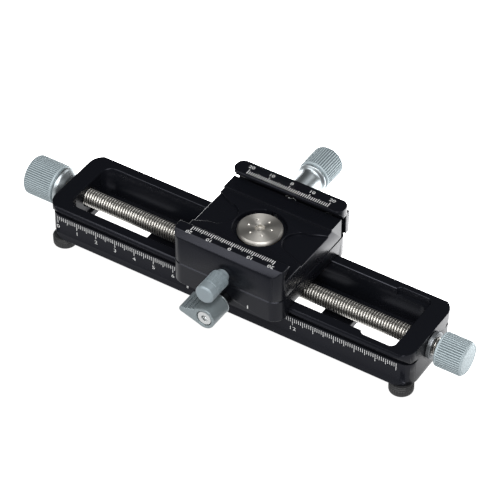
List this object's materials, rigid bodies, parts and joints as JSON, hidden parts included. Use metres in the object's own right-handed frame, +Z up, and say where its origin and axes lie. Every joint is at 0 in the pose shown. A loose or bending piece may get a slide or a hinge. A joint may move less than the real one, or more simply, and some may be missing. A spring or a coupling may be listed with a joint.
{
  "type": "macro focusing rail",
  "caption": "Macro focusing rail: screw-driven carriage on a V-flanged dovetail rail, with a lock lever and a turning quick-release clamp with a screw jaw.",
  "frame": {"origin": "mouth of the quarter-inch thread in the middle of the rail's underside", "axes": "+X along the rail towards the small knob, +Y to the back towards the clamp knob, +Z up"},
  "size_m": [0.219, 0.0995, 0.0477],
  "materials": {
    "black_anodised": "fine bead-blasted, black anodised",
    "grey_anodised": "turned and ribbed, grey anodised",
    "steel": "turned steel",
    "stainless": "face-turned stainless steel",
    "brass": "turned brass",
    "bronze": "machined bronze",
    "rubber": "moulded, matt"
  },
  "bodies": {
    "rail": {"rail_frame": "black_anodised", "feet": "rubber", "foot_studs": "steel", "bush_left": "bronze", "bush_right": "black_anodised"},
    "drive": {"lead_screw": "steel", "knob_left": "grey_anodised", "knob_right": "grey_anodised", "thrust_collar": "steel", "knob_screws": "steel"},
    "carriage": {"carriage_block": "black_anodised", "drive_nut": "bronze", "nut_screws": "steel", "pivot_post": "steel", "post_screws": "steel", "pivot_cap": "stainless", "lock_plug": "brass"},
    "clamp": {"clamp_base": "black_anodised", "pivot_washer": "brass", "pan_plug": "brass"},
    "pan_lock": {"pan_screw": "steel", "pan_knob": "grey_anodised"},
    "jaw_unit": {"jaw": "black_anodised", "guide_pins": "steel", "jaw_washer": "steel", "jaw_spring": "steel"},
    "jaw_drive": {"clamp_screw": "steel", "clamp_knob": "grey_anodised"},
    "lock_stud": {"lever_stud": "steel", "lever_washer": "steel", "lever_cap_screw": "stainless"},
    "lock_handle": {"lock_lever": "grey_anodised", "lever_spring": "steel"}
  },
  "joints": [
    {"name": "screw_turn", "type": "hinge", "parent": "rail", "child": "drive", "pos_m": [0, 0, 0.0115], "axis": [1, 0, 0], "range_deg": [-15410, 19154]},
    {"name": "carriage_slide", "type": "slide", "parent": "rail", "child": "carriage", "axis": [1, 0, 0], "range_m": [-0.0665, 0.0535]},
    {"name": "clamp_turn", "type": "hinge", "parent": "carriage", "child": "clamp", "pos_m": [0.0065, 0, 0.03], "axis": [0, 0, 1], "continuous": true},
    {"name": "pan_lock_turn", "type": "hinge", "parent": "clamp", "child": "pan_lock", "pos_m": [0.0065, -0.03, 0.03105], "axis": [0, 1, 0], "range_deg": [-360, 0]},
    {"name": "jaw_slide", "type": "slide", "parent": "clamp", "child": "jaw_unit", "axis": [0, 1, 0], "range_m": [-0.00251, 0.00151], "deforming": ["jaw_spring"]},
    {"name": "clamp_knob_turn", "type": "hinge", "parent": "jaw_unit", "child": "jaw_drive", "pos_m": [0.0065, 0.03, 0.033], "axis": [0, 1, 0], "range_deg": [-1285, 771]},
    {"name": "lock_turn", "type": "hinge", "parent": "carriage", "child": "lock_stud", "pos_m": [0.0065, -0.03, 0.018], "axis": [0, 1, 0], "range_deg": [-100, 0]},
    {"name": "lever_lift", "type": "slide", "parent": "lock_stud", "child": "lock_handle", "axis": [0, -1, 0], "range_m": [0, 0.003], "stiffness_N_per_m": 400, "deforming": ["lever_spring"]}
  ],
  "couplings": [
    {"joint": "screw_turn", "follows": "carriage_slide", "rad_per_m": -5026.5},
    {"joint": "jaw_slide", "follows": "clamp_knob_turn", "m_per_rad": 0.00011141}
  ]
}
